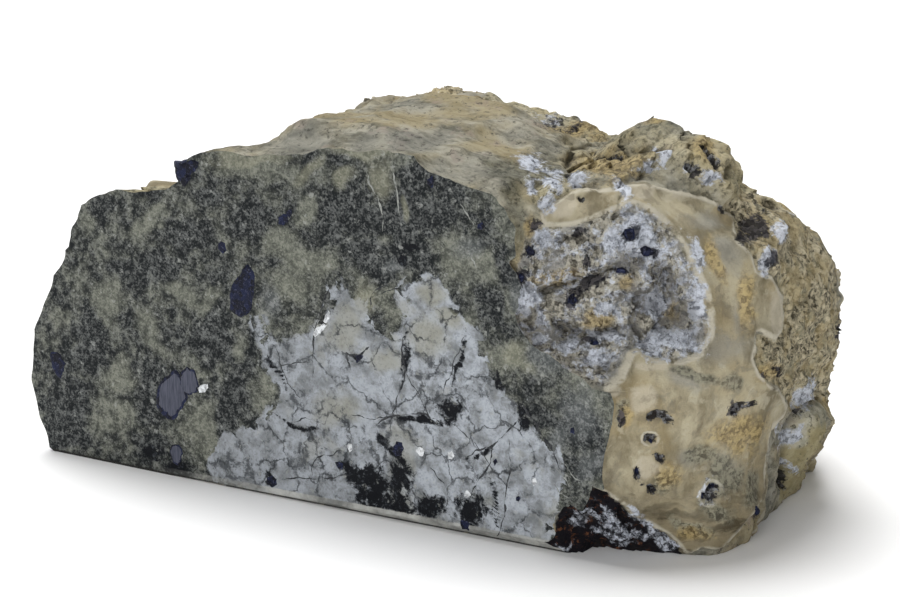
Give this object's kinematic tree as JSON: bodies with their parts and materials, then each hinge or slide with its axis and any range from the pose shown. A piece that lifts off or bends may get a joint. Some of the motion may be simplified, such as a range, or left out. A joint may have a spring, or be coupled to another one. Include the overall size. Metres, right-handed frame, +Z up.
{
  "type": "diogenite meteorite",
  "caption": "Cut diogenite meteorite: a rough, crusted block sawn flat on its tall front face and on its underside, so that it stands level as a specimen.",
  "frame": {"origin": "middle of the stone's box on the sawn underside that it rests on", "axes": "+X along the stone's length, to the right for a viewer of the tall sawn face; +Y from that face back into the stone; +Z up"},
  "size_m": [0.1564, 0.0898, 0.0746],
  "materials": {
    "stone": "dull sawn faces, rough weathered crust"
  },
  "bodies": {
    "root": {"stone": "stone"}
  },
  "joints": []
}
